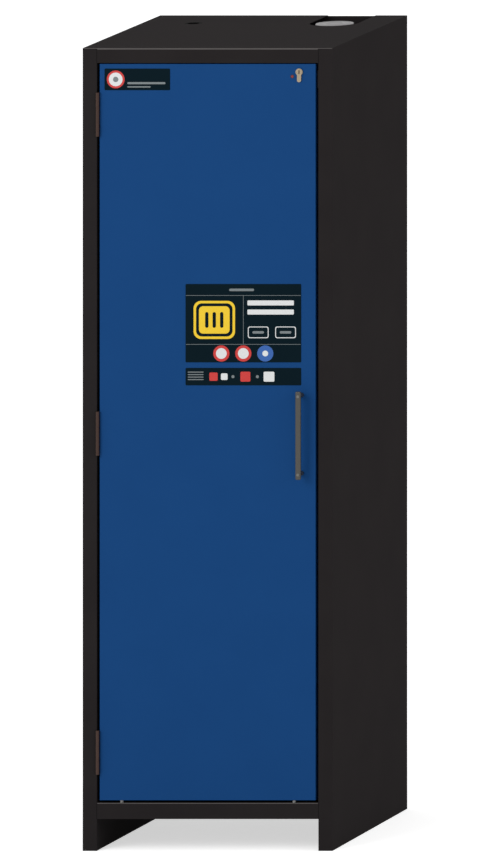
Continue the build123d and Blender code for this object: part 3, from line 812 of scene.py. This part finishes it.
def add_camera() -> None:
    """Set up a long lens whose film plane stays parallel to the cabinet's front.

    The film's sideways axis is X and its upward axis is Z, while the line of
    sight leans to the right and upward. That matrix is split into a turn, a
    stretch and a second turn: a parent carries the first two and the camera
    the last.
    """
    distance, frame_height, sensor = 55.0, 2.088, 36.0
    aim_across, aim_level = 89.1 * MM, 1010.1 * MM
    sight = np.array([0.301, -1.0, 0.148])
    sight = sight / np.linalg.norm(sight)
    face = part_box("side_panel_left")[0].y
    target = np.array([aim_across, face, aim_level])
    wanted = np.column_stack([(1, 0, 0), (0, 0, 1), sight])
    first, stretch, second = np.linalg.svd(wanted)
    if np.linalg.det(first) < 0:
        first[:, 2] *= -1
        second[2] *= -1
    holder = bpy.data.objects.new("camera_holder", None)
    holder.rotation_mode = "QUATERNION"
    holder.location = target + distance * sight
    holder.rotation_quaternion = Matrix(first.tolist()).to_quaternion()
    holder.scale = stretch.tolist()
    data = bpy.data.cameras.new("camera")
    data.sensor_width = sensor
    data.lens = sensor * distance / frame_height
    data.clip_start = 1.0
    data.clip_end = 200.0
    camera = bpy.data.objects.new("camera", data)
    camera.rotation_mode = "QUATERNION"
    camera.rotation_quaternion = Matrix(second.tolist()).to_quaternion()
    camera.parent = holder
    for made in (holder, camera):
        bpy.context.scene.collection.objects.link(made)
    bpy.context.scene.camera = camera


def background_rays(
    nodes: bpy.types.Nodes, links: bpy.types.NodeLinks
) -> bpy.types.NodeSocket:
    """Tell the rays that show the background from those that only light the cabinet.

    Args:
        nodes: Nodes to add to.
        links: Links to add to.

    Returns:
        A value of 1 for camera, glossy and transmission rays, and 0 for the rest.
    """
    path = nodes.new("ShaderNodeLightPath")
    shown = path.outputs["Is Camera Ray"]
    for ray in ("Is Glossy Ray", "Is Transmission Ray"):
        either = nodes.new("ShaderNodeMath")
        either.operation = "MAXIMUM"
        links.new(shown, either.inputs[0])
        links.new(path.outputs[ray], either.inputs[1])
        shown = either.outputs["Value"]
    return shown


def floor_material() -> bpy.types.Material:
    """Make the floor's pale matt paint, lifted to white where the camera sees it.

    Returns:
        The node material.
    """
    made = bpy.data.materials.new("floor_paint")
    made.use_nodes = True
    nodes, links = made.node_tree.nodes, made.node_tree.links
    nodes.clear()
    paint = nodes.new("ShaderNodeBsdfDiffuse")
    paint.inputs["Color"].default_value = (0.8, 0.8, 0.8, 1)
    lift = nodes.new("ShaderNodeEmission")
    share = nodes.new("ShaderNodeMapRange")
    share.inputs["To Max"].default_value = 0.6
    links.new(background_rays(nodes, links), share.inputs["Value"])
    links.new(share.outputs["Result"], lift.inputs["Strength"])
    both = nodes.new("ShaderNodeAddShader")
    links.new(paint.outputs["BSDF"], both.inputs[0])
    links.new(lift.outputs["Emission"], both.inputs[1])
    end = nodes.new("ShaderNodeOutputMaterial")
    links.new(both.outputs["Shader"], end.inputs["Surface"])
    return made


def add_floor() -> None:
    """Lay a pale round floor under the cabinet, wide enough to fill the view."""
    sides, reach = 96, 40
    around = np.linspace(0, WHOLE_TURN, sides, endpoint=False)
    rim = np.column_stack([np.cos(around), np.sin(around), np.zeros(sides)]) * reach
    mesh = bpy.data.meshes.new("floor")
    mesh.from_pydata(rim.tolist(), [], [list(range(sides))])
    mesh.materials.append(floor_material())
    floor = bpy.data.objects.new("floor", mesh)
    bpy.context.scene.collection.objects.link(floor)


def add_light() -> None:
    """Light the cabinet with a soft sky and two broad lamps."""
    sky_light, aim_level = 0.7, 1.0
    world = bpy.data.worlds.new("studio")
    bpy.context.scene.world = world
    world.use_nodes = True
    nodes, links = world.node_tree.nodes, world.node_tree.links
    sky = nodes["Background"]
    sky.inputs["Color"].default_value = (1, 1, 1, 1)
    seen = nodes.new("ShaderNodeMapRange")
    seen.inputs["To Min"].default_value = sky_light
    seen.inputs["To Max"].default_value = 1.0
    links.new(background_rays(nodes, links), seen.inputs["Value"])
    links.new(seen.outputs["Result"], sky.inputs["Strength"])
    lamps = (
        ("key_lamp", (-2.2, -4.0, 3.2), 70.0, 2.4),
        ("side_lamp", (4.2, -1.6, 2.6), 20.0, 2.0),
    )
    for name, place, power, size in lamps:
        data = bpy.data.lights.new(name, "AREA")
        data.energy = power
        data.size = size
        lamp = bpy.data.objects.new(name, data)
        lamp.location = place
        aim = Vector((0, 0, aim_level)) - Vector(place)
        lamp.rotation_mode = "QUATERNION"
        lamp.rotation_quaternion = aim.to_track_quat("-Z", "Y")
        bpy.context.scene.collection.objects.link(lamp)


def main() -> None:
    """Build the scene in order."""
    logging.basicConfig(level=logging.INFO)
    bpy.context.scene.view_settings.view_transform = "Standard"
    add_camera()
    add_floor()
    add_light()
    dress_nodes()
    DoorPlates(*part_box("door_outer_skin")).build()
    Handle(*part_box("handle_bar")).build()
    CasingFolds().build()
    SmallFittings().build()


if __name__ == "__main__":
    main()
    bpy.context.view_layer.update()
